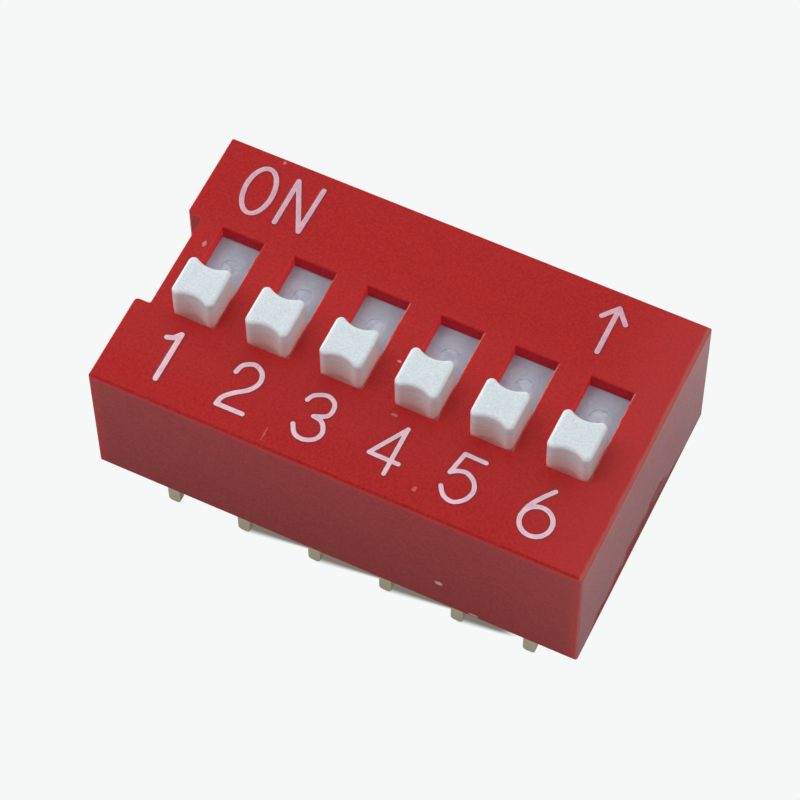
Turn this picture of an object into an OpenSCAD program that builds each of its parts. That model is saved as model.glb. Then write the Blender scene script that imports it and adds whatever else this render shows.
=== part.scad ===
// Slide-type DIP switch for through-hole boards. All sizes are in millimetres.
// Origin: centre of the board seat, +X along the row of switches from 1 to the last,
// +Y towards the ON side, +Z up. The sliders are drawn in the OFF position.

/* [Switch] */
// Number of switches in the row
ways = 6; // [2:1:12]
// Distance from one switch to the next
pitch = 2.54; // [2.5:0.01:3.2]
// Distance between the two rows of pins
row_spacing = 7.62; // [7.6:0.01:10.2]

/* [Cover] */
// Height of the cover above the board
body_h = 5.15; // [4.9:0.05:7]
// Length of the cover beyond the outer half pitch, at each end
end_margin = 0.73; // [0.64:0.01:1.5]
// Width of the cover beyond each row of pins
side_margin = 1.11; // [1.0:0.01:2]
// Thickness of the top wall
top_wall = 0.55; // [0.4:0.05:0.8]
// Thickness of the long side walls at the rim
side_wall = 0.6; // [0.45:0.05:0.7]
// Draft angle of the outer walls
draft = 0.2; // [0:0.1:1.5]
// Radius of the cover's upright corners
cover_corner_r = 0.07; // [0.06:0.01:0.3]
// Radius of the cover's top edges
cover_edge_r = 0.035; // [0.02:0.005:0.05]
// Chamfer round the top of each window
window_chamfer = 0.03; // [0.01:0.01:0.05]
// Depth of the marking notch in the end beside switch 1
notch_depth = 0.52; // [0.2:0.01:0.6]
// Width of the marking notch
notch_w = 3.5; // [2:0.1:5]
// Radius of the notch's outer corners
notch_r = 0.16; // [0.05:0.01:0.3]
// Radius of the notch's inner corners
notch_inner_r = 0.08; // [0.03:0.01:0.15]

/* [Slider] */
// Width of a knob
knob_w = 1.46; // [1.2:0.01:1.6]
// Length of a knob along its travel
knob_len = 1.45; // [1.1:0.01:1.8]
// Height of a knob above the cover
knob_h = 1.2; // [0.5:0.05:2]
// Travel from OFF to ON
travel = 1.96; // [1.6:0.01:2]
// Radius of the knob's upright corners
knob_corner_r = 0.18; // [0.15:0.01:0.25]
// Radius of the knob's top edges
knob_edge_r = 0.12; // [0.05:0.01:0.14]
// Depth of the finger groove in the knob's front and back
groove_depth = 0.155; // [0.1:0.005:0.2]
// Thickness of the skirt that closes the window
skirt_t = 0.6; // [0.4:0.05:0.8]
// Length by which the skirt passes the window at each end of its travel
skirt_lap = 0.12; // [0.05:0.01:0.3]
// Length of the carriage under the skirt
carriage_len = 3.4; // [3:0.1:3.8]
// Distance of the carriage's sides inside the skirt's sides
carriage_inset = 0.08; // [0.04:0.01:0.2]
// Diameter of the boss that locates the moving contact
boss_d = 0.24; // [0.2:0.02:0.4]
// Length of the boss below the moving contact's web
boss_h = 0.11; // [0.05:0.01:0.3]
// Diameter of the ejector mark on the skirt
mark_d = 0.62; // [0.3:0.01:0.8]
// Depth of the ejector mark
mark_depth = 0.03; // [0.01:0.01:0.1]

/* [Contacts] */
// Thickness of a terminal's strip
strip_t = 0.25; // [0.2:0.01:0.3]
// Height of a terminal's wide part, down to the shoulder where it narrows to the pin
shoulder_h = 0.65; // [0.5:0.05:0.9]
// Inside radius of a terminal's bend
strip_bend_r = 0.15; // [0.1:0.01:0.25]
// Width of a terminal's contact pad
pad_w = 1.3; // [0.9:0.05:1.6]
// Width of a pin
pin_w = 0.42; // [0.4:0.01:0.6]
// Length of a pin below the board seat
pin_len = 2.85; // [2.5:0.05:4]
// Radius of the pin tip's corners
pin_tip_r = 0.14; // [0.05:0.01:0.19]
// Distance that a pad passes the foot that rests on it in the ON position
pad_lap = 0.3; // [0.2:0.05:0.4]
// Width of the insulating gap between a front and a back pad
pad_gap = 0.41; // [0.3:0.01:0.5]
// Distance between a moving contact's two feet, beyond the travel
span_margin = 0.46; // [0.4:0.01:0.6]
// Width of a moving contact
contact_w = 1.1; // [0.8:0.05:1.2]
// Thickness of a moving contact
contact_t = 0.1; // [0.08:0.01:0.12]
// Height of a moving contact, from its feet to the underside of its web
arch_h = 1.1; // [0.9:0.05:1.2]
// Slope of a moving contact's arms
arm_angle = 60; // [58:1:65]
// Radius of the bends in a moving contact
contact_bend_r = 0.15; // [0.12:0.01:0.18]
// Width of the slot that splits each arm into two fingers
finger_slot = 0.3; // [0.2:0.05:0.4]
// Length of the upturned tail beyond a foot
tail_len = 0.1; // [0.05:0.01:0.2]
// Slope of the tail
tail_slope = 35; // [20:1:45]

/* [Base] */
// Thickness of the ribs between the switches
rib_t = 0.4; // [0.3:0.05:0.5]
// Thickness of the floor that holds the terminals
floor_t = 1.3; // [1:0.05:1.5]
// Thickness of the sealing resin under the base
seal_t = 0.45; // [0.3:0.05:0.6]
// Distance of the resin's face above the board
seal_recess = 0.15; // [0.1:0.01:0.3]
// Length of the snap lugs that hold the base in the cover, one at each end of a rib
lug_len = 1.2; // [0.8:0.1:2]
// Height of a snap lug
lug_h = 0.5; // [0.4:0.05:0.7]
// Distance that a snap lug stands out of the base
lug_out = 0.12; // [0.1:0.01:0.2]

/* [Clearances] */
// Gap between a knob and each side of its window
knob_side_gap = 0.015; // [0.01:0.005:0.05]
// Gap between a knob and the end of its window, at either end of the travel
knob_end_gap = 0.03; // [0.02:0.005:0.05]
// Gap round a slider, to the ribs and to the cover's top wall
slide_gap = 0.04; // [0.02:0.005:0.06]
// Gap round the base inside the cover
base_gap = 0.02; // [0.01:0.005:0.05]
// Gap round moulded-in and seated parts
seat_gap = 0.01; // [0.005:0.005:0.02]
// Gap between a moving contact's feet and the pads
foot_gap = 0.02; // [0.01:0.005:0.03]
// Gap between the carriage and the pads
carriage_gap = 0.16; // [0.1:0.01:0.3]

/* [Hidden] */
$fn = 64;
function numbered(name) = [for (i = [1:ways]) str(name, "_", i)];

CUT = 0.5;          // how far a cutting shape passes the face that it opens
SINK = 0.2;         // how far a shape runs into the one that it joins
BITE = 0.002;       // how far a finger groove cuts into the round corners, so that their faces cross
LAYER = 0.005;      // thickness of the layers that a hull joins
HULL_FN = 32;       // facets of a circle that a hull joins
EDGE_STEP = 22.5;   // angle between the layers of a rounded edge

body_len = ways * pitch + 2 * end_margin;
body_w = row_spacing + 2 * side_margin;
inset_top = body_h * tan(draft);

// the window leaves room for the knob, its travel and its gaps
window_w = knob_w + 2 * knob_side_gap;
window_len = knob_len + travel + 2 * knob_end_gap;
knob_off_y = -travel / 2;   // centre of the knob in the OFF position

// heights inside the cover, from the board up
base_z = seal_recess + seal_t + seat_gap;
floor_z = base_z + floor_t;
ceiling_z = body_h - top_wall;
skirt_top_z = ceiling_z - slide_gap;
skirt_z = skirt_top_z - skirt_t;
foot_z = floor_z + foot_gap;
web_z = foot_z + arch_h;
channel_z = web_z + contact_t + seat_gap;
cheek_z = floor_z + carriage_gap;
shoulder_z = floor_z - shoulder_h;
lug_z = base_z + (floor_t - lug_h) / 2;

// plan of the cells in which the sliders run
cell_w = pitch - rib_t;
cell_len = row_spacing + strip_t + 2 * (seat_gap + slide_gap);
cavity_len = ways * pitch - rib_t + 2 * slide_gap;
cavity_w = body_w - 2 * side_wall;
base_len = cavity_len - 2 * base_gap;
base_w = cavity_w - 2 * base_gap;
skirt_w = cell_w - 2 * slide_gap;
skirt_len = window_len + travel + 2 * skirt_lap;
carriage_w = skirt_w - 2 * carriage_inset;

// finger groove: an arc of the stated depth that runs smoothly into the knob's round corners,
// at meet_x and meet_y from the middle of the knob
corner_x = knob_w / 2 - knob_corner_r;
corner_y = knob_len / 2 - knob_corner_r;
groove_reach = (pow(corner_x, 2) + pow(groove_depth, 2)) / (2 * groove_depth);
groove_r = groove_reach - knob_corner_r;
groove_y = corner_y + groove_reach - groove_depth;
meet_x = corner_x * groove_r / groove_reach;
meet_y = groove_y - groove_r * (1 - groove_depth / groove_reach);

// in the ON position each foot is on its pad, and in the OFF position the back foot lies
// in front of the back pad
contact_span = travel + span_margin;
front_foot_on_y = (travel - contact_span) / 2;
front_pad_end_y = front_foot_on_y + pad_lap;
back_pad_end_y = front_pad_end_y + pad_gap;

// moving contact: the arms' length and the web's half length follow from the height and the span
bend_sum = 2 * contact_bend_r + contact_t;
arm_len = (arch_h - bend_sum * (1 - cos(arm_angle))) / sin(arm_angle);
web_half = contact_span / 2 - bend_sum * sin(arm_angle) - arm_len * cos(arm_angle);

function way_x(i) = (i - (ways + 1) / 2) * pitch;
function rib_x(k) = (k - ways / 2) * pitch;

module rounded_rect(size, r) {
    square([size.x - 2 * r, size.y], center = true);
    square([size.x, size.y - 2 * r], center = true);
    for (sx = [-1, 1], sy = [-1, 1])
        translate([sx * (size.x / 2 - r), sy * (size.y / 2 - r)]) circle(r);
}

// an upright wall of width w and height h, with its two top corners rounded
module round_topped(w, h, r) {
    translate([-w / 2, 0]) square([w, h - r]);
    translate([r - w / 2, 0]) square([w - 2 * r, h]);
    for (s = [-1, 1])
        translate([s * (w / 2 - r), h - r]) circle(r);
}

// an outline in X and Z, drawn out along Y
module along_y(len) {
    rotate([90, 0, 0]) linear_extrude(len, center = true) children();
}

// an outline in Y and Z, drawn out along X
module along_x(len) {
    rotate([90, 0, 90]) linear_extrude(len, center = true) children();
}

// ---------- cover ----------

// outer shape: drafted walls, round upright corners and round top edges, in thin layers
module cover_layer(z, inset) {
    size = [body_len - 2 * inset, body_w - 2 * inset];
    r = cover_corner_r + inset_top - inset;
    translate([0, 0, z]) linear_extrude(LAYER) rounded_rect(size, r, $fn = HULL_FN);
}

module cover_block() {
    side_h = body_h - cover_edge_r;
    hull() {
        cover_layer(0, 0);
        for (a = [0:EDGE_STEP:90])
            cover_layer(side_h + cover_edge_r * sin(a) - LAYER, inset_top + cover_edge_r * (1 - cos(a)));
    }
}

// the notch follows the drafted end wall over its whole height
module notch() {
    translate([-body_len / 2, 0, 0]) rotate([0, draft, 0])
        translate([0, 0, -CUT]) linear_extrude(body_h + 2 * CUT) {
            translate([-CUT, 0]) notch_floor();
            for (s = [0, 1])
                mirror([0, s]) translate([0, notch_w / 2]) notch_corner();
        }
}

module notch_floor() {
    depth = notch_depth + CUT;
    translate([0, -notch_w / 2]) square([depth - notch_inner_r, notch_w]);
    translate([0, notch_inner_r - notch_w / 2]) square([depth, notch_w - 2 * notch_inner_r]);
    for (s = [-1, 1])
        translate([depth - notch_inner_r, s * (notch_w / 2 - notch_inner_r)]) circle(notch_inner_r);
}

module notch_corner() {
    difference() {
        translate([-CUT, 0]) square([CUT + notch_r, notch_r]);
        translate([notch_r, notch_r]) circle(notch_r);
    }
}

// cross-section of a window, widened by its chamfer at the top
module window_outline(size) {
    half = size / 2;
    flare = window_chamfer + CUT;
    polygon([
        [-half, ceiling_z - CUT], [half, ceiling_z - CUT], [half, body_h - window_chamfer],
        [half + flare, body_h + CUT], [-half - flare, body_h + CUT], [-half, body_h - window_chamfer]
    ]);
}

module window(i) {
    translate([way_x(i), 0, 0]) intersection() {
        along_y(2 * window_len) window_outline(window_w);
        along_x(2 * window_len) window_outline(window_len);
    }
}

module cover() {
    color("firebrick") difference() {
        cover_block();
        translate([-cavity_len / 2, -cavity_w / 2, -CUT])
            cube([cavity_len, cavity_w, ceiling_z + CUT]);
        for (i = [1:ways]) window(i);
        notch();
        snap_lugs(seat_gap);
    }
}

// ---------- snap lugs ----------

// the lugs that stand out of the base's long sides, all grown by g: flat below, sloped above
module snap_lugs(g = 0) {
    face = base_w / 2 + lug_out + g;
    root = base_w / 2 - SINK;
    for (k = [1:ways - 1], s = [0, 1])
        translate([rib_x(k), 0, lug_z]) mirror([0, s, 0]) along_x(lug_len + 2 * g) polygon([
            [root, -g], [face, -g], [face, lug_out + g],
            [base_w / 2 + g, lug_h + g], [root, lug_h + g]
        ]);
}

// ---------- terminals ----------

// section of a terminal in Y and Z: a pad that ends at end_y, the bend and the pin, all grown by g
module terminal_section(end_y, g) {
    pin_y = row_spacing / 2 - strip_t / 2;
    bend_y = pin_y - strip_bend_r;
    bend_z = floor_z - strip_t - strip_bend_r;
    outer_r = strip_bend_r + strip_t + g;
    translate([end_y - g, floor_z - strip_t - g]) square([bend_y - end_y + g, strip_t + 2 * g]);
    translate([pin_y - g, -pin_len - g]) square([strip_t + 2 * g, bend_z + pin_len + g]);
    translate([bend_y, bend_z]) intersection() {
        difference() {
            circle(outer_r);
            circle(strip_bend_r - g);
        }
        square(outer_r);
    }
}

// front view of a terminal: the wide pad above its shoulder, and the pin with a rounded tip
module terminal_front(g) {
    pad = pad_w + 2 * g;
    pin = pin_w + 2 * g;
    tip_r = pin_tip_r + g;
    translate([-pad / 2, shoulder_z - g]) square([pad, shoulder_h + CUT]);
    translate([-pin / 2, tip_r - pin_len - g]) square([pin, pin_len + shoulder_z - tip_r + g]);
    translate([tip_r - pin / 2, -pin_len - g]) square([pin - 2 * tip_r, tip_r + CUT]);
    for (s = [-1, 1])
        translate([s * (pin / 2 - tip_r), tip_r - pin_len - g]) circle(tip_r);
}

// side is -1 for the front row and 1 for the back row
module terminal(i, side, g = 0) {
    end_y = side > 0 ? back_pad_end_y : -front_pad_end_y;
    translate([way_x(i), 0, 0]) mirror([0, side > 0 ? 0 : 1, 0]) intersection() {
        along_x(pad_w + CUT) terminal_section(end_y, g);
        along_y(2 * row_spacing) terminal_front(g);
    }
}

module front_terminal(i) {
    color("tan") terminal(i, -1);
}

module back_terminal(i) {
    color("tan") terminal(i, 1);
}

// ---------- base and seal ----------

module base_tray() {
    translate([-base_len / 2, -base_w / 2, base_z]) cube([base_len, base_w, floor_t]);
    for (s = [-1, 1])
        translate([-base_len / 2, s > 0 ? cell_len / 2 : -base_w / 2, base_z])
            cube([base_len, (base_w - cell_len) / 2, skirt_top_z - base_z]);
    for (k = [1:ways - 1])
        translate([rib_x(k) - rib_t / 2, -base_w / 2, base_z])
            cube([rib_t, base_w, skirt_top_z - base_z]);
    snap_lugs();
}

module base() {
    color("dimgray") difference() {
        base_tray();
        for (i = [1:ways], side = [-1, 1])
            terminal(i, side, seat_gap);
    }
}

module bottom_seal() {
    len_x = cavity_len - 2 * seat_gap;
    len_y = cavity_w - 2 * seat_gap;
    color("black") difference() {
        translate([-len_x / 2, -len_y / 2, seal_recess]) cube([len_x, len_y, seal_t]);
        for (i = [1:ways], side = [-1, 1])
            terminal(i, side, seat_gap);
    }
}

// ---------- sliders ----------

// cuts a finger groove, and rounds the top edge that it leaves
module finger_groove(top) {
    tool_r = groove_r + BITE;
    rotate_extrude() {
        square([tool_r, top + CUT]);
        translate([tool_r, top - knob_edge_r]) difference() {
            square([knob_edge_r, knob_edge_r + CUT]);
            translate([knob_edge_r, 0]) circle(knob_edge_r);
        }
    }
}

// one round corner of a knob, with its round top edge
module knob_corner(h) {
    core_r = knob_corner_r - knob_edge_r;
    rotate_extrude() {
        square([knob_corner_r, h - knob_edge_r]);
        square([core_r, h]);
        translate([core_r, h - knob_edge_r]) intersection() {
            circle(knob_edge_r);
            square(knob_edge_r);
        }
    }
}

module knob(h) {
    difference() {
        union() {
            along_y(2 * corner_y) round_topped(knob_w, h, knob_edge_r);
            translate([-meet_x, -meet_y, 0]) cube([2 * meet_x, 2 * meet_y, h]);
            for (sx = [-1, 1], sy = [-1, 1])
                translate([sx * corner_x, sy * corner_y, 0]) knob_corner(h);
        }
        for (s = [-1, 1])
            translate([0, s * groove_y, 0]) finger_groove(h);
    }
}

// the carriage hangs under the skirt, and its cheeks hold the moving contact
module carriage() {
    channel_w = contact_w + 2 * seat_gap;
    difference() {
        translate([-carriage_w / 2, -carriage_len / 2, cheek_z])
            cube([carriage_w, carriage_len, skirt_z - cheek_z + SINK]);
        translate([-channel_w / 2, -carriage_len / 2 - CUT, cheek_z - CUT])
            cube([channel_w, carriage_len + 2 * CUT, channel_z - cheek_z + CUT]);
    }
    translate([0, 0, web_z - boss_h]) cylinder(d = boss_d, h = boss_h + skirt_z - web_z);
}

module slider(i) {
    mark_y = (knob_len / 2 + skirt_len / 2) / 2;
    color("whitesmoke") translate([way_x(i), knob_off_y, 0]) {
        difference() {
            union() {
                translate([-skirt_w / 2, -skirt_len / 2, skirt_z]) cube([skirt_w, skirt_len, skirt_t]);
                translate([0, 0, skirt_z]) knob(body_h + knob_h - skirt_z);
            }
            translate([0, mark_y, skirt_top_z - mark_depth]) cylinder(d = mark_d, h = CUT);
        }
        carriage();
    }
}

// ---------- moving contacts ----------

// a strip that runs along +Y: each step is [straight length, angle of the bend that follows]
module strip_run(steps, k = 0) {
    if (k < len(steps)) {
        run = steps[k][0];
        bend = steps[k][1];
        centre_z = bend > 0 ? contact_t + contact_bend_r : -contact_bend_r;
        translate([-contact_w / 2, 0, 0]) cube([contact_w, run, contact_t]);
        translate([0, run, 0]) {
            if (bend != 0)
                translate([0, 0, centre_z])
                    rotate([90, 0, 90])
                        rotate([0, 0, bend > 0 ? -90 : 90 + bend])
                            rotate_extrude(angle = abs(bend))
                                translate([contact_bend_r, -contact_w / 2]) square([contact_t, contact_w]);
            translate([0, 0, centre_z]) rotate([bend, 0, 0]) translate([0, 0, -centre_z])
                strip_run(steps, k + 1);
        }
    }
}

// half of the arch: web, bend down, arm, foot and upturned tail
module contact_half() {
    strip_run([[web_half, -arm_angle], [arm_len, arm_angle + tail_slope], [tail_len, 0]]);
}

module contact(i) {
    color("goldenrod") translate([way_x(i), knob_off_y, web_z]) difference() {
        union() {
            contact_half();
            mirror([0, 1, 0]) contact_half();
        }
        translate([0, 0, -CUT]) cylinder(d = boss_d + 2 * seat_gap, h = 2 * CUT);
        for (s = [-1, 1])
            translate([-finger_slot / 2, s > 0 ? web_half : -contact_span, -arch_h - CUT])
                cube([finger_slot, contact_span - web_half, arch_h + contact_t + CUT]);
    }
}

// ---------- the nodes ----------

cover();
base();
bottom_seal();
for (i = [1:ways]) {
    slider(i);
    contact(i);
    front_terminal(i);
    back_terminal(i);
}
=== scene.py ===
import math

import bpy
import numpy as np
from mathutils import Matrix, Vector, noise


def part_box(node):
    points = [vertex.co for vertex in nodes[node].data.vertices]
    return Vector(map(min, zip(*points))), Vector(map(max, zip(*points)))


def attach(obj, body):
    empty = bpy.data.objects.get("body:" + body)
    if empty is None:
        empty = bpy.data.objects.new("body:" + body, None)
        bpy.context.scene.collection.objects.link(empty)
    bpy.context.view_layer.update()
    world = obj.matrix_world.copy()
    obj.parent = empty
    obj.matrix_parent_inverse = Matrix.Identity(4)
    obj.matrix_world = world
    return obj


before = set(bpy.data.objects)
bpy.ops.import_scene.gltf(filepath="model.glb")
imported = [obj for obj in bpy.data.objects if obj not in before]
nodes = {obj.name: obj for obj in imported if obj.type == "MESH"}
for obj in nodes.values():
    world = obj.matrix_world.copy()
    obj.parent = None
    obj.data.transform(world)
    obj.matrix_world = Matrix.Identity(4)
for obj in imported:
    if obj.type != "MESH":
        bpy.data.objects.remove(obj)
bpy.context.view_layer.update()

MM = 0.001                      # the frame is in metres, and sizes here are in millimetres

cover_low, cover_high = (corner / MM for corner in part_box("cover"))
knob_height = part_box("slider_1")[1].z / MM - cover_high.z
pin_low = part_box("front_terminal_1")[0].z / MM
ways = sum(name.startswith("slider_") for name in nodes)
slider_x = [sum(corner.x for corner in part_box(f"slider_{i + 1}")) / 2 / MM for i in range(ways)]
pitch = slider_x[1] - slider_x[0]

# sizes that no node's box gives
WINDOW_WIDTH = 1.49
WINDOW_LENGTH = 3.47
NOTCH_DEPTH = 0.52              # of the marking notch in the left end
NOTCH_WIDTH = 3.50
ROW_OVERHANG = 1.0              # from the middle of the last window to the end of the row
KNOB_FRONT = -1.705             # Y of a knob's front face, in the OFF position
SKIRT_DEPTH = 0.59              # of a slider's skirt below the top of the cover
EJECTOR_MARK_Y = 0.80           # middle of the round mark on a slider's skirt, in the OFF position


# ---------- camera and lamps ----------

VIEW_AZIMUTH = 26.216           # degrees, 0 looks along +Y
VIEW_ELEVATION = 59.424
VIEW_ROLL = -0.644
VIEW_DISTANCE = 108.685         # millimetres from the target
VIEW_TARGET = Vector((0.715, -1.567, cover_high.z))
LENS = 159.93                   # millimetres on a 36 mm sensor
LAMP_DISTANCE = 0.30            # metres


def direction(azimuth, elevation):
    """The unit vector towards a camera or lamp at this azimuth and elevation."""
    a, e = math.radians(azimuth), math.radians(elevation)
    return Vector((math.sin(a) * math.cos(e), -math.cos(a) * math.cos(e), math.sin(e)))


def looking_back(back, roll=0.0):
    """The turn of a camera or lamp that looks against this vector."""
    right = Vector((0, 0, 1)).cross(back).normalized()
    up = back.cross(right)
    level = Matrix((right, up, back)).transposed().to_4x4()
    return level @ Matrix.Rotation(math.radians(roll), 4, "Z")


def add_camera():
    data = bpy.data.cameras.new("camera")
    data.lens = LENS
    data.clip_start = 0.005
    data.clip_end = 10
    camera = bpy.data.objects.new("camera", data)
    back = direction(VIEW_AZIMUTH, VIEW_ELEVATION)
    place = (VIEW_TARGET + VIEW_DISTANCE * back) * MM
    camera.matrix_world = Matrix.Translation(place) @ looking_back(back, VIEW_ROLL)
    bpy.context.scene.collection.objects.link(camera)
    bpy.context.scene.camera = camera


def add_softbox(name, azimuth, elevation, size, power):
    """A round lamp that faces the switch: its size in metres, and its power in watts."""
    data = bpy.data.lights.new(name, "AREA")
    data.shape = "DISK"
    data.size = size
    data.energy = power
    lamp = bpy.data.objects.new(name, data)
    back = direction(azimuth, elevation)
    lamp.matrix_world = Matrix.Translation(LAMP_DISTANCE * back) @ looking_back(back)
    bpy.context.scene.collection.objects.link(lamp)


# ---------- shader maths ----------

class Wire:
    """One output of a shader's nodes. Arithmetic on it adds Math nodes."""

    def __init__(self, tree, socket=None):
        self.tree, self.socket = tree, socket

    def node(self, kind, settings=None, inputs=None, output=0):
        """Adds a node of any other kind: its settings first, then its sockets' values or links."""
        made = self.tree.nodes.new("ShaderNode" + kind)
        for name, setting in (settings or {}).items():
            setattr(made, name, setting)
        for name, value in (inputs or {}).items():
            if isinstance(value, Wire):
                self.tree.links.new(value.socket, made.inputs[name])
            else:
                made.inputs[name].default_value = value
        return Wire(self.tree, made.outputs[output] if made.outputs else None)

    def maths(self, operation, *values):
        return self.node("Math", {"operation": operation}, dict(enumerate(values)))

    def __add__(self, other):
        return self.maths("ADD", self, other)

    def __radd__(self, other):
        return self.maths("ADD", other, self)

    def __sub__(self, other):
        return self.maths("SUBTRACT", self, other)

    def __rsub__(self, other):
        return self.maths("SUBTRACT", other, self)

    def __mul__(self, other):
        return self.maths("MULTIPLY", self, other)

    def __rmul__(self, other):
        return self.maths("MULTIPLY", other, self)

    def __truediv__(self, other):
        return self.maths("DIVIDE", self, other)

    def __abs__(self):
        return self.maths("ABSOLUTE", self)


def new_surface(name):
    """A bare material, and the wire of its object coordinates in millimetres."""
    material = bpy.data.materials.new(name)
    material.use_nodes = True
    material.node_tree.nodes.clear()
    place = Wire(material.node_tree).node("TexCoord", output="Object")
    return material, place.node("VectorMath", {"operation": "SCALE"}, {0: place, "Scale": 1 / MM})


def axes_of(place, wanted="XYZ"):
    """The coordinates along the wanted axes, in the order of the letters."""
    return [place.node("SeparateXYZ", inputs={0: place}, output=axis) for axis in wanted]


def vector(place, operation, other):
    return place.node("VectorMath", {"operation": operation}, {0: place, 1: other})


def speckle(place, size, detail=2.0, roughness=0.5, warp=0.0):
    """Noise from 0 to 1, whose blotches are about this many millimetres across."""
    inputs = {"Vector": place, "Scale": 1 / size, "Detail": detail, "Roughness": roughness}
    return place.node("TexNoise", inputs={**inputs, "Distortion": warp})


def step(value, low, high):
    """0 below low, 1 above high, and smooth between them."""
    settings = {"interpolation_type": "SMOOTHSTEP"}
    return value.node("MapRange", settings, {"Value": value, "From Min": low, "From Max": high})


def fade(value, low, high):
    """1 below low, 0 above high, and smooth between them."""
    return 1 - step(value, low, high)


def between(value, rise, fall):
    """1 between rise and fall, each of which is a pair of values that the change runs between."""
    return step(value, *rise) * fade(value, *fall)


def from_middle(x):
    """How far along X each place is from the middle of its own switch."""
    cell = (x - slider_x[0]) / pitch + 0.5
    return (cell - cell.maths("FLOOR", cell) - 0.5) * pitch


def blend(share, colour, other):
    """colour where share is 0, other where it is 1. Either share or colour is a wire."""
    wire = share if isinstance(share, Wire) else colour
    return wire.node("Mix", {"data_type": "RGBA"}, {0: share, 6: colour, 7: other}, output=2)


def bump(height, depth, under=None):
    """The normal over a height from 0 to 1, which stands for this many millimetres."""
    inputs = {"Height": height, "Distance": depth * MM, "Strength": 1.0}
    if under is not None:
        inputs["Normal"] = under
    return height.node("Bump", inputs=inputs)


def finish_surface(material, wire, **inputs):
    """Ends a material in the shader. An input's name has _ for a space."""
    named = {name.replace("_", " "): value for name, value in inputs.items()}
    shader = wire.node("BsdfPrincipled", inputs=named)
    wire.node("OutputMaterial", inputs={"Surface": shader})
    return material


# ---------- materials ----------

def rgb(red, green, blue):
    return (red, green, blue, 1)


# pale marks on the cover: place, half length along X, Y and Z, and strength
COVER_MARKS = [
    ((-7.30, 0.93, cover_high.z), (0.06, 0.11, 0.1), 0.6),
    ((3.62, cover_low.y, 1.24), (0.13, 0.1, 0.11), 1.0),
    ((4.82, cover_low.y, 0.10), (0.16, 0.1, 0.05), 1.0),
    ((0.10, -0.33, cover_high.z), (0.07, 0.05, 0.1), 0.7),
    ((2.45, -4.19, cover_high.z), (0.07, 0.09, 0.1), 0.35),
    ((0.80, -2.12, cover_high.z), (0.11, 0.05, 0.1), 0.35),
    ((-2.50, -4.40, cover_high.z), (0.03, 0.26, 0.1), 0.25),
    ((-6.38, 4.76, cover_high.z), (0.06, 0.06, 0.1), 0.5),
]


PALER_MIDDLE_Y = -0.8                # middle of the band across the top that is paler


class CoverPlaces:
    """The wires that the cover's wear is placed by. Distances are in millimetres."""

    def __init__(self, place):
        self.place = place
        self.x, self.y, self.z = axes_of(place)
        self.below_top = cover_high.z - self.z
        self.behind_front = self.y - cover_low.y
        self.from_right = cover_high.x - self.x
        self.from_middle = from_middle(self.x)
        self.top = fade(self.below_top, 0.01, 0.05)
        self.front = fade(self.behind_front, 0.02, 0.08)
        self.in_row = step(slider_x[-1] + ROW_OVERHANG - abs(self.x), 0, 0.1)
        self.mottle = speckle(place, 0.8, 3, 0.6)
        self.grain = speckle(place, 0.09, 3, 0.75)


def painted_side_shade(on, colour):
    """Painted shade: the sides are darker than the top and darker lower down, but less so at the front's
    uprights and in the notch, and the front's lip has a painted brighter red glow.
    """
    corner = on.front * fade(cover_high.x - abs(on.x), 0.2, 0.45)
    lip = on.front * fade(on.below_top, 0.05, 0.25)
    notch = fade(on.x - cover_low.x - NOTCH_DEPTH, 0.03, 0.13) * fade(abs(on.y) - NOTCH_WIDTH / 2, 0.05, 0.20)
    # side is the share of painted shade, more on the sides and growing lower down
    side = step(on.below_top, 0.05, 0.35) * (0.64 - on.z * 0.06) * (1 - corner * 0.8) * (1 - notch * 0.75)
    # painted glow: the front's lip, under the top edge, is a brighter red
    colour = blend(lip * 0.6, colour, rgb(0.65, 0.0120, 0.0120))
    return blend(side, colour, rgb(0.232, 0.0045, 0.0056)), side


def end_reflection_and_streaks(on, colour, side):
    """Painted shade and reflection: the right end is shaded darker red and painted paler towards the back,
    for the pale table it mirrors, with upright pale streaks.
    """
    end = side * fade(on.from_right, 0, 0.05)
    # painted reflection: the end's colour turns paler towards the back
    bare = blend(step(on.y, -1, 3), rgb(0.22, 0.0070, 0.0070), rgb(0.22, 0.032, 0.029))
    streaks = speckle(vector(on.place, "MULTIPLY", (1, 1, 0.25)), 0.45, 3, 0.65)
    colour = blend(end, colour, bare)
    return blend(end * step(streaks, 0.5, 0.7) * 0.6, colour, rgb(0.24, 0.040, 0.034))


def painted_edge_light_and_shade(on, colour):
    """Painted edge light and shade: a fine painted dark line on the top at the front, a paler band across the
    top, and painted pale highlights along the top's right edge, the windows' right edges and the front's
    right upright.
    """
    # painted shade: a fine dark line on the top, just behind its front edge
    rim = on.top * between(on.behind_front, (0.03, 0.05), (0.11, 0.15))
    colour = blend(rim, colour, rgb(0.36, 0.0001, 0.0010))
    colour = blend(on.top * fade(abs(on.y - PALER_MIDDLE_Y), 2.2, 3.4) * 0.3, colour, rgb(0.56, 0.030, 0.030))
    # painted highlight: the top is pale along its right edge
    edge_highlight = on.top * fade(on.from_right - (on.mottle - 0.5) * 0.12, 0.09, 0.20)
    colour = blend(edge_highlight, colour, rgb(0.50, 0.155, 0.130))
    # painted highlight along the right edges of the windows, here and there
    edge = WINDOW_WIDTH / 2
    edge = between(on.from_middle, (edge - 0.015, edge), (edge + 0.03, edge + 0.055)) * on.in_row
    edge = edge * fade(abs(on.y), WINDOW_LENGTH / 2 - 0.035, WINDOW_LENGTH / 2 + 0.015)
    edge = edge * fade(on.below_top, 0.05, 0.08) * step(on.grain + on.mottle, 0.85, 1.1)
    colour = blend(edge, colour, rgb(0.75, 0.26, 0.23))
    # painted highlight on the front's right upright
    upright = on.front * fade(on.from_right, 0.03, 0.13)
    return blend(upright, colour, rgb(0.60, 0.100, 0.085)), rim


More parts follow.
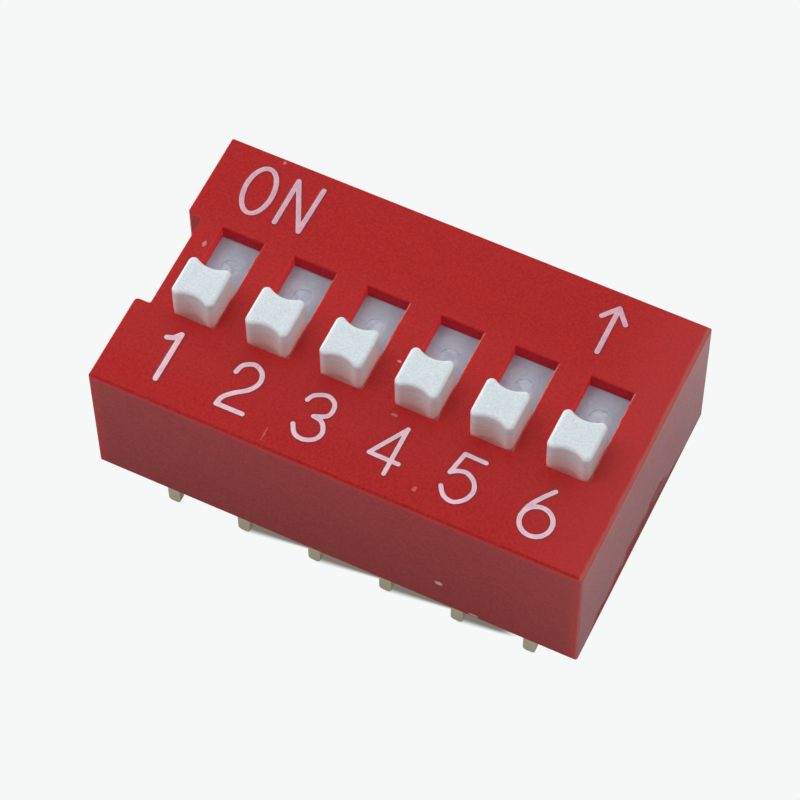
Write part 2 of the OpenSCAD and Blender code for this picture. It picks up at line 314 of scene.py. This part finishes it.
def lit_windows(on, colour):
    """Painted shade and glow: the windows are painted a deeper red inside, and a painted red glow stands for
    light coming through the plastic, most at the left wall, which is also painted paler.
    """
    within = on.in_row * fade(abs(on.y) - WINDOW_LENGTH / 2, 0.115, 0.165)
    inside = within * step(on.below_top, 0.03, 0.06)
    left_wall = fade(on.from_middle + WINDOW_WIDTH / 2, 0.005, 0.045)
    left_wall = left_wall * within * step(on.below_top, 0.002, 0.012)
    # painted shade: a deeper red inside the windows
    colour = blend(inside, colour, rgb(0.36, 0.0006, 0.0040))
    # painted light: the left wall is paler
    colour = blend(left_wall, colour, rgb(0.50, 0.02, 0.02))
    # painted red glow, strongest at the left wall
    glow = blend(inside, rgb(0, 0, 0), rgb(0.060, 0.0004, 0.0045))
    return colour, blend(left_wall, glow, rgb(0.22, 0.008, 0.010)), inside


def grained(on, colour, side):
    dark = blend(0.55, colour, rgb(0.20, 0.002, 0.004))
    # the pale grain is darker on the sides, following the painted side shade
    pale = blend(side, rgb(0.57, 0.028, 0.028), rgb(0.42, 0.042, 0.042))
    colour = blend(step(on.grain, 0.32, 0.68) * 0.4, colour, dark)
    return blend(fade(on.grain, 0.25, 0.70) * 0.6, colour, pale)


def nicked(on, colour):
    for point, half, strength in COVER_MARKS:
        offset = vector(vector(on.place, "SUBTRACT", point), "DIVIDE", half)
        away = offset.node("VectorMath", {"operation": "LENGTH"}, {0: offset}, output=1)
        mark = fade(away + (on.grain - 0.5) * 1.6, 0.7, 1.2)
        colour = blend(mark * strength, colour, rgb(0.78, 0.42, 0.38))
    return colour


def scuffed_foot(on):
    """Where the lower edge of the right end is scuffed, furthest up in the middle of the end."""
    reach = speckle(on.place, 1.1, 3, 0.6) * 2.0 - abs(on.y) * 0.27 + 0.3
    return fade(on.from_right, 0.05, 0.1) * fade(on.z, reach - 0.4, reach)


def cover_plastic():
    material, place = new_surface("cover_plastic")
    on = CoverPlaces(place)
    colour = blend(speckle(place, 5, 2), rgb(0.525, 0.0048, 0.0043), rgb(0.545, 0.0080, 0.0056))
    colour = blend(on.mottle, colour, rgb(0.500, 0.0056, 0.0052))
    # the cover is paler towards the right end of the row
    colour = blend(step(on.x, 5.0, 8.2) * 0.8, colour, rgb(0.58, 0.036, 0.034))
    colour, side = painted_side_shade(on, colour)
    colour = end_reflection_and_streaks(on, colour, side)
    colour, rim = painted_edge_light_and_shade(on, colour)
    colour, glow, inside = lit_windows(on, colour)
    colour = nicked(on, grained(on, colour, side))
    shine = 0.24 + on.mottle * 0.06 + on.grain * 0.10 + scuffed_foot(on) * 0.4 + inside * 0.5 + rim * 0.5
    normal = bump(on.grain, 0.005, bump(on.mottle, 0.008))
    return finish_surface(material, place, Base_Color=colour, Roughness=shine, Normal=normal,
                          Emission_Color=glow, Emission_Strength=1.0,
                          Specular_IOR_Level=0.3, Subsurface_Weight=0.6,
                          Subsurface_Radius=(0.15, 0.03, 0.02), Subsurface_Scale=MM)


def moulded_white(place, height):
    """The sliders' white plastic, finely crystalline on top and with faint level lines below it."""
    cloud = speckle(place, 0.30, 3, 0.6, 0.4)
    crystal = speckle(place, 0.065, 3, 0.75)
    lines = speckle(vector(place, "MULTIPLY", (0.12, 0.12, 1)), 0.12, 3, 0.65)
    colour = blend(cloud, rgb(0.72, 0.82, 0.85), rgb(0.82, 0.90, 0.94))
    colour = blend(step(crystal, 0.45, 0.7) * 0.7, colour, rgb(0.96, 0.99, 1.0))
    colour = blend(fade(crystal, 0.25, 0.5) * 0.6, colour, rgb(0.58, 0.70, 0.70))
    below_top = fade(height, knob_height - 0.25, knob_height - 0.05)
    colour = blend(below_top * 0.3, colour, rgb(0.86, 0.93, 0.90))
    colour = blend(below_top * step(lines, 0.45, 0.6) * 0.16, colour, rgb(0.52, 0.52, 0.48))
    return colour, crystal, bump(crystal, 0.008, bump(lines, 0.02, bump(cloud, 0.01)))


def thin_skirt(place, height, colour):
    """The thin skirt lets the dark inside show through, and has a pale swirl at its ejector mark."""
    x, y = axes_of(place, "XY")
    skirt = fade(height, -SKIRT_DEPTH, 0.12 - SKIRT_DEPTH)
    swirl = speckle(place, 0.35, 2, 0.5, 1.5)
    colour = blend(skirt * (1.0 - swirl * 0.4), colour, rgb(0.37, 0.42, 0.53))
    across, along = from_middle(x), y - EJECTOR_MARK_Y
    spot = fade(across * across + along * along, 0.02, 0.16) * step(swirl, 0.35, 0.6)
    return blend(skirt * spot * 0.6, colour, rgb(0.66, 0.72, 0.80))


def slider_plastic():
    material, place = new_surface("slider_plastic")
    y, z = axes_of(place, "YZ")
    height = z - cover_high.z
    colour, crystal, normal = moulded_white(place, height)
    colour = thin_skirt(place, height, colour)
    # painted red glow at the knob's foot, for the cover's red light shining up through it, strongest in the
    # gap below the window's front end, which would be in shade
    foot = between(height, (-0.55, -0.3), (-0.05, 0.75))
    gap_glow = fade(height, -0.75, -0.25) * step(y - KNOB_FRONT, -0.095, -0.015)
    gap_glow = gap_glow * fade(y - KNOB_FRONT, 1.005, 1.205)
    glow = blend(foot, rgb(0, 0, 0), rgb(0.070, 0.011, 0.003))
    glow = blend(gap_glow, glow, rgb(0.20, 0.004, 0.010))
    # the foot is also tinted with the painted red light
    colour = blend(foot * 0.6, colour, rgb(0.82, 0.66, 0.60))
    return finish_surface(material, place, Base_Color=colour, Roughness=0.30 + crystal * 0.16, Normal=normal,
                          Emission_Color=glow, Emission_Strength=1.0, Subsurface_Weight=0.6,
                          Subsurface_Radius=(1.0, 0.85, 0.75), Subsurface_Scale=0.25 * MM)


def base_plastic():
    material, place = new_surface("base_plastic")
    grain = speckle(place, 0.06, 3, 0.6)
    fibre = speckle(place, 0.4, 2, 0.5)
    colour = blend(fibre, rgb(0.028, 0.028, 0.031), rgb(0.045, 0.045, 0.048))
    colour = blend(step(grain, 0.6, 0.8) * 0.4, colour, rgb(0.09, 0.09, 0.095))
    return finish_surface(material, place, Base_Color=colour, Roughness=0.48 + grain * 0.15,
                          Normal=bump(grain, 0.006))


def seal_resin():
    material, place = new_surface("seal_resin")
    pool = speckle(place, 1.6, 2, 0.4)
    dust = speckle(place, 0.05, 3, 0.7)
    colour = blend(pool, rgb(0.012, 0.012, 0.014), rgb(0.022, 0.021, 0.022))
    colour = blend(step(dust, 0.66, 0.8) * 0.3, colour, rgb(0.12, 0.12, 0.12))
    return finish_surface(material, place, Base_Color=colour, Roughness=0.16 + pool * 0.12,
                          Normal=bump(pool, 0.05, bump(dust, 0.003)))


def tinned_strip():
    """Drawn along the pins, and more tarnished higher up."""
    material, place = new_surface("tinned_strip")
    [z] = axes_of(place, "Z")
    lines = speckle(vector(place, "MULTIPLY", (1, 1, 0.08)), 0.03, 2, 0.6)
    patches = speckle(place, 0.3, 3, 0.6)
    colour = blend(patches, rgb(0.95, 0.83, 0.52), rgb(1.0, 0.94, 0.70))
    tarnish = step(patches + z * 0.15, 0.35, 0.6)
    colour = blend(tarnish * 0.5, colour, rgb(0.70, 0.54, 0.30))
    return finish_surface(material, place, Base_Color=colour, Metallic=0.3, Roughness=0.30 + patches * 0.2,
                          Normal=bump(lines, 0.002, bump(patches, 0.004)))


def gilt_strip():
    material, place = new_surface("gilt_strip")
    wipe = speckle(place, 0.2, 3, 0.6)
    colour = blend(wipe, rgb(0.83, 0.58, 0.22), rgb(0.92, 0.70, 0.32))
    return finish_surface(material, place, Base_Color=colour, Metallic=1.0, Roughness=0.18 + wipe * 0.12,
                          Normal=bump(speckle(place, 0.04, 2), 0.001))


INK_DEPTH = 0.012               # from the cover to the top of the ink


def printing_ink():
    material, place = new_surface("printing_ink")
    y, z = axes_of(place, "YZ")
    height = (z - cover_high.z) / INK_DEPTH
    patches = speckle(place, 0.30, 3, 0.65)
    # the word and the arrow, on the back half of the cover, are pinker than the numbers
    word = step(y, 0, 1)
    colour = blend(word, rgb(1.0, 0.65, 0.71), rgb(0.86, 0.47, 0.53))
    # a stroke has a dark line along its edge, painted shade, and is greyer in the middle
    colour = blend(step(height, 0.35, 0.60), rgb(0.22, 0.001, 0.010), colour)
    middle = step(height, 0.85, 1.0) * step(patches, 0.35, 0.65)
    colour = blend(middle * 0.7, colour, blend(word, rgb(0.74, 0.50, 0.64), rgb(0.60, 0.36, 0.50)))
    return finish_surface(material, place, Base_Color=colour, Roughness=0.42 + patches * 0.15,
                          Normal=bump(speckle(place, 0.04, 2), 0.003))


FLOOR_COLOURS = rgb(0.908, 0.935, 0.926), rgb(0.918, 0.943, 0.934)
ROOM_COLOUR = rgb(0.913, 0.939, 0.930)

SHADOW_EDGE = 1.38              # where the shadow starts, in under the cover's sides
SHADOW_REACH = 0.50             # by which it reaches out past that edge beside a front pin
SHADOW_TAPER = 0.42             # of which it has lost this much at the next pin


def beside_cover(x, y):
    """The distance, in plan, to the nearest of the cover's sides. It is negative under the cover."""
    return x.maths("MAXIMUM", abs(x) - cover_high.x, abs(y) - cover_high.y)


def studio_floor():
    """The floor that the camera sees, with the faint shadow under the cover. It is clear from below."""
    material, place = new_surface("studio_floor")
    x, y = axes_of(place, "XY")
    under = 0 - beside_cover(x, y)
    run = (x - slider_x[0]) / pitch
    reach = SHADOW_REACH - run.maths("FRACT", run) * SHADOW_TAPER
    beside_pins = step(under, SHADOW_EDGE - reach, SHADOW_EDGE + 0.02 - reach * 0.5) * fade(y, -3, -1)
    rise = (slider_x[1] - 0.3, slider_x[1] - 0.1)
    fall = (slider_x[-1] - 1.2, slider_x[-1] - 0.4)
    beside_pins = beside_pins * between(x, rise, fall)
    shadow = x.maths("MAXIMUM", beside_pins * 0.9, step(under, SHADOW_EDGE, 2.2) * 0.55)
    colour = blend(speckle(place, 40, 2), *FLOOR_COLOURS)
    colour = blend(shadow, colour, rgb(0.13, 0.10, 0.065))
    glow = place.node("Emission", inputs={"Color": colour, "Strength": 1.0})
    below = place.node("NewGeometry", output="Backfacing")
    clear = place.node("BsdfTransparent")
    floor = place.node("MixShader", inputs={0: below, 1: glow, 2: clear})
    place.node("OutputMaterial", inputs={"Surface": floor})
    return material


def table_top():
    """The lit table that the object's faces mirror, and that throws light up at them."""
    material, place = new_surface("table_top")
    x, y = axes_of(place, "XY")
    # painted shadow: the table is darker near the cover; it also glows brighter beside the cover's right end,
    # painted light
    colour = blend(step(beside_cover(x, y), -2, 6), rgb(0.22, 0.22, 0.23), rgb(0.58, 0.59, 0.61))
    right = between(x - cover_high.x, (-0.5, 0.5), (3, 9))
    glow = blend(right, rgb(0.12, 0.12, 0.12), rgb(0.36, 0.36, 0.37))
    return finish_surface(material, place, Base_Color=colour, Roughness=1.0, Specular_IOR_Level=0.0,
                          Emission_Color=glow, Emission_Strength=1.0)


# ---------- printed legends ----------

WORD_STROKE = 0.231             # width of a printed line in the word and the arrow
DIGIT_STROKES = {1: 0.246, 2: 0.223, 3: 0.211, 4: 0.204, 5: 0.205, 6: 0.218}
GRID = 0.02                     # spacing of the points at which ink is laid
EDGE_WOBBLE = 0.006             # unevenness of a stroke's edge
EDGE_WAVES = 9                  # in a millimetre
CROWN = 0.3                     # share of a stroke's width over which the ink rises to its full depth


def line(*points):
    return np.array(points, float)


def arc(x, y, rx, ry, start, end, tilt=0.0, steps=40):
    """Points along an ellipse from one angle to another, in degrees."""
    a = np.radians(np.linspace(start, end, steps))
    t = math.radians(tilt)
    u, v = rx * np.cos(a), ry * np.sin(a)
    along, up = u * math.cos(t) - v * math.sin(t), u * math.sin(t) + v * math.cos(t)
    return np.stack([x + along, y + up], 1)


def curve(*points, steps=8):
    """Points along a smooth curve through the given ones."""
    p = np.array([points[0], *points, points[-1]], float)
    t = np.linspace(0, 1, steps, endpoint=False)[:, None]
    spans = []
    for a, b, c, d in zip(p, p[1:], p[2:], p[3:]):
        bend, twist = a - 2.5 * b + 2 * c - d / 2, 1.5 * (b - c) + (d - a) / 2
        spans.append(b + t * ((c - a) / 2 + t * (bend + t * twist)))
    return np.concatenate([*spans, p[-1:]])


# each glyph is drawn about the middle of its switch, with Y as in the frame
DIGITS = {
    1: [line((-0.41, -2.63), (-0.21, -2.56), (-0.05, -2.36)), line((-0.04, -2.36), (-0.05, -4.10))],
    2: [curve((-0.46, -2.82), (-0.37, -2.53), (-0.04, -2.36), (0.28, -2.52), (0.38, -2.86), (0.21, -3.22),
              (-0.19, -3.54), (-0.43, -3.80), (-0.50, -4.08)), line((-0.50, -4.09), (0.39, -4.09))],
    3: [curve((-0.58, -2.78), (-0.45, -2.55), (-0.08, -2.39), (0.22, -2.52), (0.31, -2.80), (0.22, -3.05),
              (-0.15, -3.22)),
        curve((-0.15, -3.22), (0.12, -3.27), (0.29, -3.45), (0.35, -3.70), (0.22, -3.95), (-0.11, -4.09),
              (-0.41, -4.01), (-0.60, -3.72))],
    4: [line((0.13, -2.40), (-0.61, -3.62), (0.38, -3.63)), line((0.12, -2.40), (0.12, -4.11))],
    5: [line((0.23, -2.45), (-0.48, -2.43), (-0.64, -3.20)),
        curve((-0.64, -3.20), (-0.43, -3.06), (-0.16, -3.01), (0.14, -3.18), (0.29, -3.50), (0.19, -3.85),
              (-0.06, -4.07), (-0.29, -4.09), (-0.51, -3.98), (-0.69, -3.74))],
    6: [curve((-0.01, -2.45), (-0.33, -2.87), (-0.55, -3.25), (-0.62, -3.55)),
        arc(-0.12, -3.635, 0.51, 0.515, 0, 360)],
}
WORD_ON = [
    arc(-6.65, 3.45, 0.47, 0.89, 0, 360, 4),
    line((-5.68, 2.60), (-5.67, 4.32), (-4.84, 2.60), (-4.79, 4.33)),
]
# the arrow beside the last switch points to the ON side
ARROW = [line((5.45, 2.60), (5.45, 4.30)), line((5.05, 3.86), (5.45, 4.33), (5.85, 3.86))]


def distance_field(strokes, xs, ys):
    """How far each grid point is from the middle line of the nearest stroke."""
    x, y = np.meshgrid(xs, ys, indexing="ij")
    field = np.full(x.shape, np.inf)
    for stroke in strokes:
        for (ax, ay), (bx, by) in zip(stroke, stroke[1:]):
            dx, dy = bx - ax, by - ay
            share = ((x - ax) * dx + (y - ay) * dy) / max(dx * dx + dy * dy, 1e-12)
            share = share.clip(0, 1)
            field = np.minimum(field, np.hypot(x - ax - share * dx, y - ay - share * dy))
    return field


class InkLayer:
    """A layer of ink, over every place within half this width of a stroke. It starts as the upper face."""

    def __init__(self, strokes, width):
        points = np.concatenate(strokes)
        low, high = points.min(0) - width, points.max(0) + width
        self.xs, self.ys = (np.arange(low[k], high[k], GRID) for k in range(2))
        waves = ([noise.noise((x * EDGE_WAVES, y * EDGE_WAVES, 0)) for y in self.ys] for x in self.xs)
        wobble = np.array(list(waves))
        self.level = width / 2 + EDGE_WOBBLE * wobble - distance_field(strokes, self.xs, self.ys)
        self.rise = width * CROWN
        self.vertices, self.faces, self.found = [], [], {}
        for i, j in np.argwhere(self.level[:-1, :-1] > -2 * GRID):
            self.add_face([(i, j), (i + 1, j), (i + 1, j + 1), (i, j + 1)])

    def vertex(self, key, x, y, depth):
        """The number of the vertex with this key, this far inside the stroke's edge."""
        if key not in self.found:
            share = min(max(depth / self.rise, 0), 1)
            crown = share * share * (3 - 2 * share)
            self.found[key] = len(self.vertices)
            self.vertices.append((x, y, cover_high.z + INK_DEPTH * crown))
        return self.found[key]

    def crossing(self, a, b):
        """The vertex where the stroke's edge crosses a side of a grid square."""
        share = self.level[a] / (self.level[a] - self.level[b])
        x = self.xs[a[0]] + share * (self.xs[b[0]] - self.xs[a[0]])
        y = self.ys[a[1]] + share * (self.ys[b[1]] - self.ys[a[1]])
        return self.vertex((min(a, b), max(a, b)), x, y, 0)

    def add_face(self, corners):
        """Adds the part of a grid square that is inside the stroke's edge."""
        level, ring = self.level, []
        for a, b in zip(corners, corners[1:] + corners[:1]):
            if level[a] > 0:
                ring.append(self.vertex(a, self.xs[a[0]], self.ys[a[1]], level[a]))
            if (level[a] > 0) != (level[b] > 0):
                ring.append(self.crossing(a, b))
        if len(ring) > 2:
            self.faces.append(ring)

    def close(self):
        """Adds the underside, and the wall along each edge that only one face has."""
        count = len(self.vertices)
        self.vertices += [(x, y, cover_high.z - INK_DEPTH / 4) for x, y, _ in self.vertices]
        edges = {(a, b) for ring in self.faces for a, b in zip(ring, ring[1:] + ring[:1])}
        walls = [(b, a, a + count, b + count) for a, b in edges if (b, a) not in edges]
        self.faces += [[v + count for v in reversed(ring)] for ring in self.faces] + walls


def print_ink(name, strokes, width, ink):
    """A thin closed layer of ink along these strokes, on the cover."""
    layer = InkLayer(strokes, width)
    layer.close()
    mesh = bpy.data.meshes.new(name)
    mesh.from_pydata([Vector(v) * MM for v in layer.vertices], [], layer.faces)
    mesh.materials.append(ink)
    for polygon in mesh.polygons:
        polygon.use_smooth = True
    piece = bpy.data.objects.new(name, mesh)
    bpy.context.scene.collection.objects.link(piece)
    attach(piece, "housing")


# ---------- the scene ----------

WELD_DISTANCE = 0.0005          # within which a moulded piece's vertices are joined
SHARP_ANGLE = 25                # degrees between two faces, from which their edge is rounded
FLOOR_HALF = 2.0                # metres
TABLE_GAP = 0.01                # from the floor that is seen down to the table that lights


def give(names, material):
    for name in names:
        nodes[name].data.materials.clear()
        nodes[name].data.materials.append(material)


def soften_edges(name, width):
    """Rounds a moulded piece's sharp edges by this many millimetres."""
    piece = nodes[name]
    weld = piece.modifiers.new("weld", "WELD")
    weld.merge_threshold = WELD_DISTANCE * MM
    edge = piece.modifiers.new("edge", "BEVEL")
    edge.width = width * MM
    edge.segments = 2
    edge.limit_method = "ANGLE"
    edge.angle_limit = math.radians(SHARP_ANGLE)
    edge.harden_normals = True
    edge.use_clamp_overlap = True


def add_plane(name, material, height):
    """A large level square, at this height in millimetres."""
    corners = [(x * FLOOR_HALF, y * FLOOR_HALF, height * MM) for x, y in ((-1, -1), (1, -1), (1, 1), (-1, 1))]
    mesh = bpy.data.meshes.new(name)
    mesh.from_pydata(corners, [], [(0, 1, 2, 3)])
    mesh.materials.append(material)
    plane = bpy.data.objects.new(name, mesh)
    bpy.context.scene.collection.objects.link(plane)
    return plane


def add_floor():
    """A plain pale floor for the camera, and the table that lights and is mirrored in the object."""
    floor = add_plane("floor", studio_floor(), pin_low)
    floor.visible_glossy = False
    floor.visible_diffuse = False
    floor.visible_shadow = False
    table = add_plane("table", table_top(), pin_low - TABLE_GAP)
    table.visible_camera = False


def band(up, low, high):
    """1 between two elevations in degrees, and 0 outside them, with soft edges."""
    low, high = math.sin(math.radians(low)), math.sin(math.radians(high))
    return between(up, (low - 0.05, low + 0.05), (high - 0.05, high + 0.05))


def add_surroundings():
    """The light of the room: soft boxes behind, to the right and overhead, and pale walls low down.

    The low walls are at the left and in front.
    """
    world = bpy.data.worlds.new("studio")
    world.use_nodes = True
    world.node_tree.nodes.clear()
    start = Wire(world.node_tree)
    x, y, up = axes_of(start.node("TexCoord", output="Generated"))
    behind, right, left = (axis.maths("MAXIMUM", axis, 0.0) for axis in (y, x, 0 - x))
    light = behind * band(up, 15, 58) * 1.10 + right * band(up, 35, 58) * 1.60 + band(up, 58, 80) * 0.56
    light = light + (left * 1.25 + fade(y, 0.0, 0.2) * 0.3) * band(up, 0, 15)
    colour = light.node("CombineXYZ", inputs={0: light, 1: light, 2: light * 1.02})
    lit = light.node("Background", inputs={"Color": colour, "Strength": 1.0})
    # seen past the floor, the room is as pale as the floor
    plain = light.node("Background", inputs={"Color": ROOM_COLOUR, "Strength": 1.0})
    seen = light.node("LightPath", output="Is Camera Ray")
    room = light.node("MixShader", inputs={0: seen, 1: lit, 2: plain})
    light.node("OutputWorld", inputs={"Surface": room})
    bpy.context.scene.world = world


add_camera()
add_surroundings()
add_softbox("overhead", azimuth=-20, elevation=72, size=0.22, power=0.13)
add_softbox("left", azimuth=-70, elevation=55, size=0.20, power=0.23)
add_softbox("rim", azimuth=-118, elevation=8, size=0.08, power=0.25)
add_floor()
bpy.context.scene.view_settings.view_transform = "Standard"

give(["cover"], cover_plastic())
give(["base"], base_plastic())
give(["bottom_seal"], seal_resin())
give([name for name in nodes if name.startswith("slider_")], slider_plastic())
give([name for name in nodes if name.startswith("contact_")], gilt_strip())
give([name for name in nodes if "_terminal_" in name], tinned_strip())
soften_edges("cover", 0.02)

ink = printing_ink()
for digit, strokes in DIGITS.items():
    placed = [stroke + (slider_x[digit - 1], 0) for stroke in strokes]
    print_ink(f"digit_{digit}", placed, DIGIT_STROKES[digit], ink)
print_ink("word_on", WORD_ON, WORD_STROKE, ink)
print_ink("arrow_on", ARROW, WORD_STROKE, ink)
